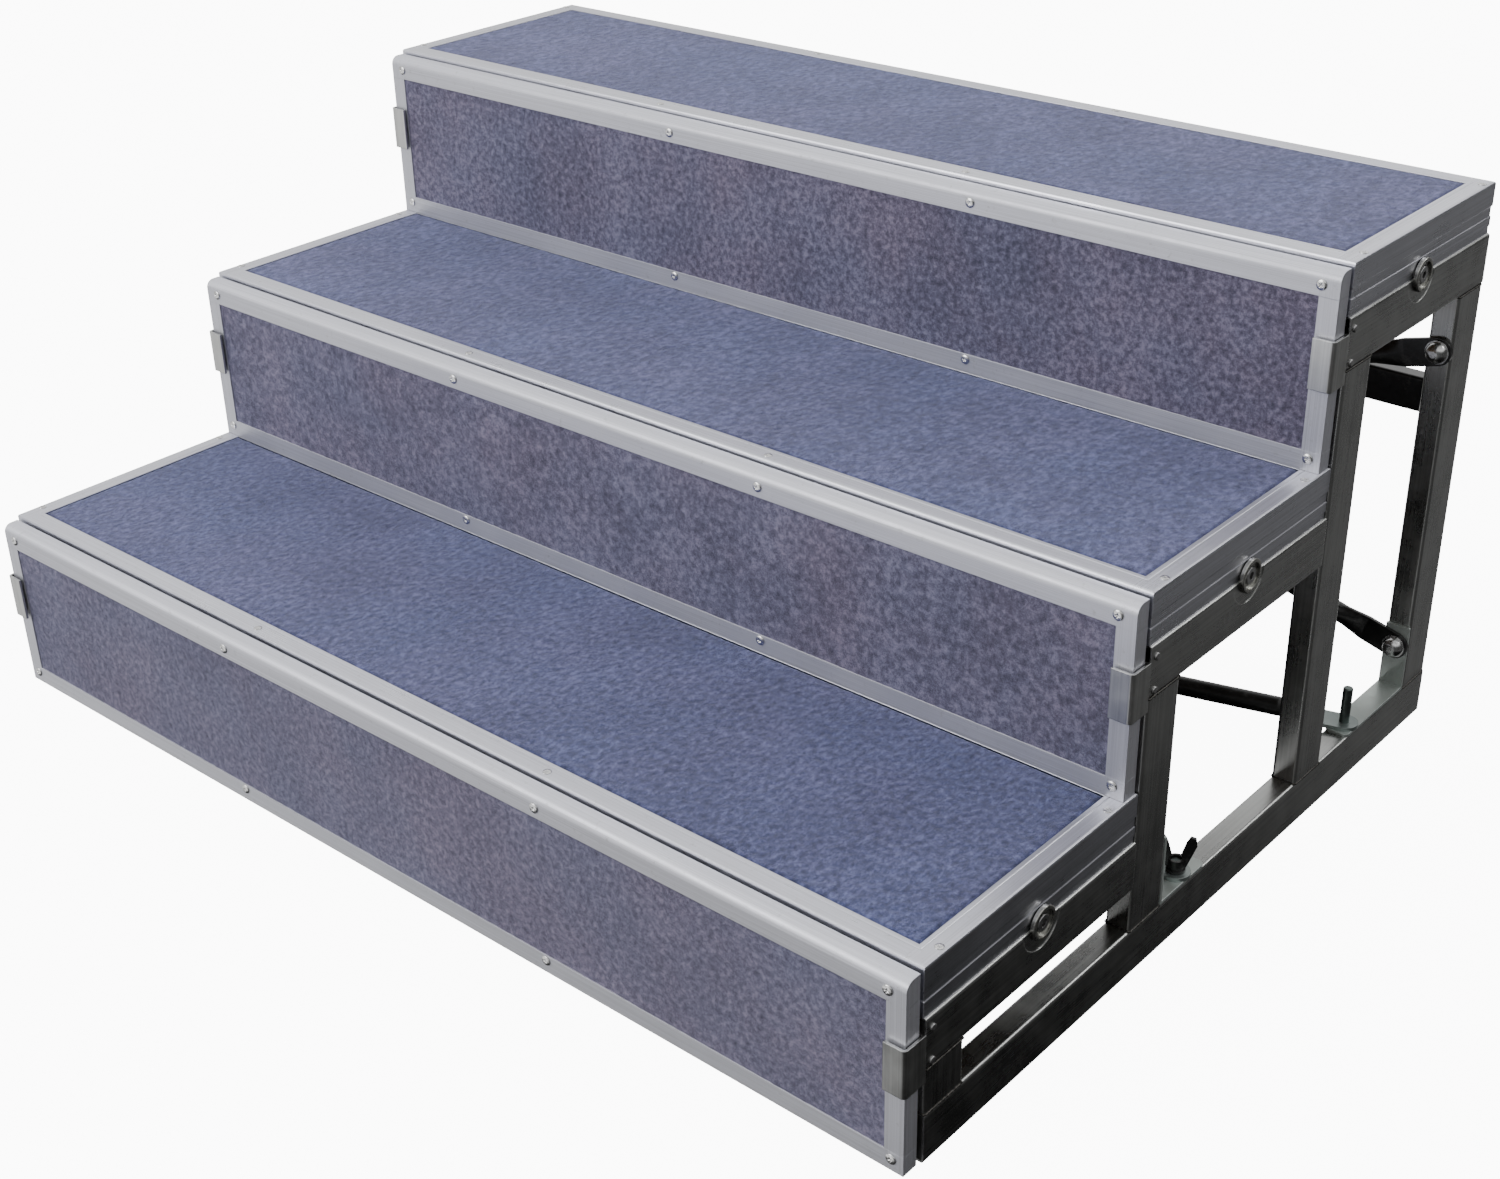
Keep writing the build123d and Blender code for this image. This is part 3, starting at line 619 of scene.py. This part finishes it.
def drive_screws():
    """Cross-recess heads on the decks and riser panels, in place of the plain CAD screws."""
    across = Vector((1, 0, 0))
    kinds = (
        ("deck", Vector((0, 0, 1)), DECK_HEAD_RISE),
        ("riser", Vector((0, -1, 0)), RISER_HEAD_RISE))
    for step in STEPS:
        for kind, out, rise in kinds:
            node = f"{kind}_{step}_screws"
            heads = []
            for low, high in node_islands(node):
                seat = (low + high) / 2
                if kind == "deck":
                    seat.z = high.z - rise
                else:
                    seat.y = low.y + rise
                heads.append(screw_head(seat, out, across, (high.x - low.x) / 2, rise))
            verts, faces = joined(heads)
            finish = FINISHES["screw_steel"]
            piece = add_piece(f"{kind}_{step}_screw_heads", verts, faces, finish, f"{kind}_{step}")
            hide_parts(node)


def weld_bead(ring):
    """Rippled bead along the straight runs of a closed ring of points."""
    stations = []
    for a, b in zip(ring, ring[1:] + ring[:1]):
        parts = max(2, round((b - a).length / WELD_PITCH))
        stations += [(a.lerp(b, k / parts), (b - a).normalized()) for k in range(parts)]
    sides = 8
    verts = []
    for number, (point, along) in enumerate(stations):
        ripple = 1.0 + 0.16 * math.sin(number * 1.9) + 0.22 * noise.noise(point * 210.0)
        a = along.orthogonal().normalized()
        b = along.cross(a)
        for side in range(sides):
            angle = 2 * math.pi * side / sides
            way = a * math.cos(angle) + b * math.sin(angle)
            verts.append(point + way * WELD_RADIUS * ripple)
    faces = []
    rows = len(stations)
    for row in range(rows):
        here, there = row * sides, (row + 1) % rows * sides
        for side in range(sides):
            turn = (side + 1) % sides
            faces.append((here + side, here + turn, there + turn, there + side))
    return verts, faces


def weld_frames():
    """Beads all round the posts where they meet the rails."""
    inset = WELD_INSET
    beads = []
    for side, sign in SIDES.items():
        x_out = sign * FRAME_OUT
        x_in = sign * FRAME_IN
        base_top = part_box(f"base_rail_{side}")[1].z
        joints = []
        for post in POSTS:
            low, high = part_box(f"{post}_{side}")
            rear = min(high.y, cad_box[1].y - WELD_CLEAR)
            joints += [(low.y, rear, base_top), (low.y, rear, high.z)]
        for y0, y1, z in joints:
            ring = [Vector((x_in + sign * inset, y0, z)), Vector((x_out - sign * inset, y0, z)),
                    Vector((x_out, y0 + inset, z)), Vector((x_out, y1 - inset, z)),
                    Vector((x_out - sign * inset, y1, z)), Vector((x_in + sign * inset, y1, z)),
                    Vector((x_in, y1 - inset, z)), Vector((x_in, y0 + inset, z))]
            beads.append(weld_bead(ring))
    verts, faces = joined(beads)
    piece = add_piece("weld_beads", verts, faces, WELD, "frame")


# ================= studio =================
def area_light(name, place, aim, size, watts):
    data = bpy.data.lights.new(name, "AREA")
    data.shape = "RECTANGLE"
    data.size, data.size_y = size
    data.energy = watts
    lamp = bpy.data.objects.new(name, data)
    lamp.location = place
    direction = Vector(aim) - Vector(place)
    lamp.rotation_euler = direction.to_track_quat("-Z", "Y").to_euler()
    bpy.context.scene.collection.objects.link(lamp)


def build_world():
    """Studio surround by direction: bright before the front faces, dark to the right."""
    world = bpy.data.worlds.new("studio")
    world.use_nodes = True
    tree = world.node_tree
    background = tree.nodes["Background"]
    coords = tree.nodes.new("ShaderNodeTexCoord")
    split = tree.nodes.new("ShaderNodeSeparateXYZ")
    tree.links.new(coords.outputs["Generated"], split.inputs[0])

    def ramp(letter, stops):
        spread = tree.nodes.new("ShaderNodeMapRange")
        spread.inputs["From Min"].default_value = -1.0
        tree.links.new(split.outputs[letter], spread.inputs["Value"])
        node = tree.nodes.new("ShaderNodeValToRGB")
        tree.links.new(spread.outputs[0], node.inputs["Fac"])
        elements = node.color_ramp.elements
        while len(elements) < len(stops):
            elements.new(0.5)
        for element, (place, level) in zip(elements, stops):
            element.position = (place + 1.0) / 2.0
            element.color = (*grey(level), 1.0)
        return node.outputs["Color"]

    height = ramp("Z", WORLD_BY_HEIGHT)
    side = ramp("X", WORLD_BY_SIDE)
    fade = tree.nodes.new("ShaderNodeMapRange")
    fade.interpolation_type = "SMOOTHSTEP"
    fade.inputs["From Min"].default_value, fade.inputs["From Max"].default_value = SIDE_FADE
    tree.links.new(split.outputs["Z"], fade.inputs["Value"])
    open_top = tree.nodes.new("ShaderNodeMix")
    open_top.data_type = "RGBA"
    open_top.inputs[7].default_value = (1.0, 1.0, 1.0, 1.0)
    tree.links.new(fade.outputs[0], open_top.inputs[0])
    tree.links.new(side, open_top.inputs[6])
    product = tree.nodes.new("ShaderNodeMix")
    product.data_type = "RGBA"
    product.blend_type = "MULTIPLY"
    product.inputs[0].default_value = 1.0
    tree.links.new(height, product.inputs[6])
    tree.links.new(open_top.outputs[2], product.inputs[7])
    tree.links.new(product.outputs[2], background.inputs["Color"])
    background.inputs["Strength"].default_value = WORLD_LEVEL
    bpy.context.scene.world = world


def build_floor():
    """Pale glowing floor that only the camera sees, so that it doesn't light the metal."""
    mesh = bpy.data.meshes.new("floor")
    reach = 14.0
    corners = [(-reach, -reach, 0), (reach, -reach, 0), (reach, reach, 0), (-reach, reach, 0)]
    mesh.from_pydata(corners, [], [(0, 1, 2, 3)])
    floor = bpy.data.objects.new("floor", mesh)
    bpy.context.scene.collection.objects.link(floor)
    shader = Shader("floor_pale", Roughness=0.9)
    shader.bsdf.inputs["Emission Color"].default_value = (1.0, 1.0, 1.0, 1.0)
    shader.bsdf.inputs["Emission Strength"].default_value = FLOOR_GLOW
    tone = shader.noise(1.2, 2.0, 0.5)
    shader.colour(shader.ramp(tone, [(0.3, grey(0.40)), (0.7, grey(0.44))]))
    mesh.materials.append(shader.material)
    floor.visible_glossy = False
    floor.visible_diffuse = False


def build_shade():
    """Dark cards under the unit and inside its left frame, unseen, that keep light out of it."""
    mesh = bpy.data.meshes.new("shade")
    x0, x1, y0, y1, z = -0.62, 0.54, -0.44, 0.44, 0.0005    # clear of the right base rail
    verts = [(x0, y0, z), (x1, y0, z), (x1, y1, z), (x0, y1, z)]
    faces = [(0, 1, 2, 3)]
    side = 0.02 - FRAME_IN      # just inside the left frame
    for step in STEPS:
        low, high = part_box(f"deck_{step}_edging")
        y0, y1, top = low.y + 0.04, high.y - 0.03, low.z - 0.004
        faces.append(tuple(range(len(verts), len(verts) + 4)))
        verts += [(side, y0, z), (side, y1, z), (side, y1, top), (side, y0, top)]
    mesh.from_pydata(verts, [], faces)
    card = bpy.data.objects.new("shade", mesh)
    bpy.context.scene.collection.objects.link(card)
    shader = Shader("shade_dark", Roughness=0.95)
    tone = shader.noise(3.0, 2.0, 0.5)
    shader.colour(shader.ramp(tone, [(0.3, grey(0.02)), (0.7, grey(0.03))]))
    mesh.materials.append(shader.material)
    card.visible_camera = False


def build_camera():
    azimuth = math.radians(CAMERA_AZIMUTH)
    elevation = math.radians(CAMERA_ELEVATION)
    roll = math.radians(CAMERA_ROLL)
    ahead = Vector((-math.sin(azimuth), math.cos(azimuth), 0.0)) * math.cos(elevation)
    ahead.z = -math.sin(elevation)
    level = Vector((math.cos(azimuth), math.sin(azimuth), 0.0))
    upright = level.cross(ahead)
    right = level * math.cos(roll) + upright * math.sin(roll)
    up = right.cross(ahead)
    place = (CAMERA_X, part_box("riser_1_edging")[0].y - CAMERA_AHEAD, CAMERA_Z)
    data = bpy.data.cameras.new("camera")
    data.sensor_width = 36.0
    data.lens = CAMERA_LENS
    data.clip_end = 60.0
    camera = bpy.data.objects.new("camera", data)
    rotation = Matrix((right, up, -ahead)).transposed().to_4x4()
    camera.matrix_world = Matrix.Translation(place) @ rotation
    bpy.context.scene.collection.objects.link(camera)
    bpy.context.scene.camera = camera


def build_studio():
    build_world()
    build_floor()
    build_shade()
    build_camera()
    area_light("top", (-0.3, 0.0, 3.2), (0.0, 0.0, 0.3), (3.0, 2.6), TOP_WATTS)
    area_light("key", (-1.6, -3.2, 1.9), (0.0, 0.0, 0.3), (2.4, 1.8), KEY_WATTS)
    area_light("edge", (2.6, 3.2, 2.9), (0.6, 0.2, 0.3), (0.5, 1.6), EDGE_WATTS)


dress_nodes()
lay_carpets()
drive_screws()
weld_frames()
build_studio()
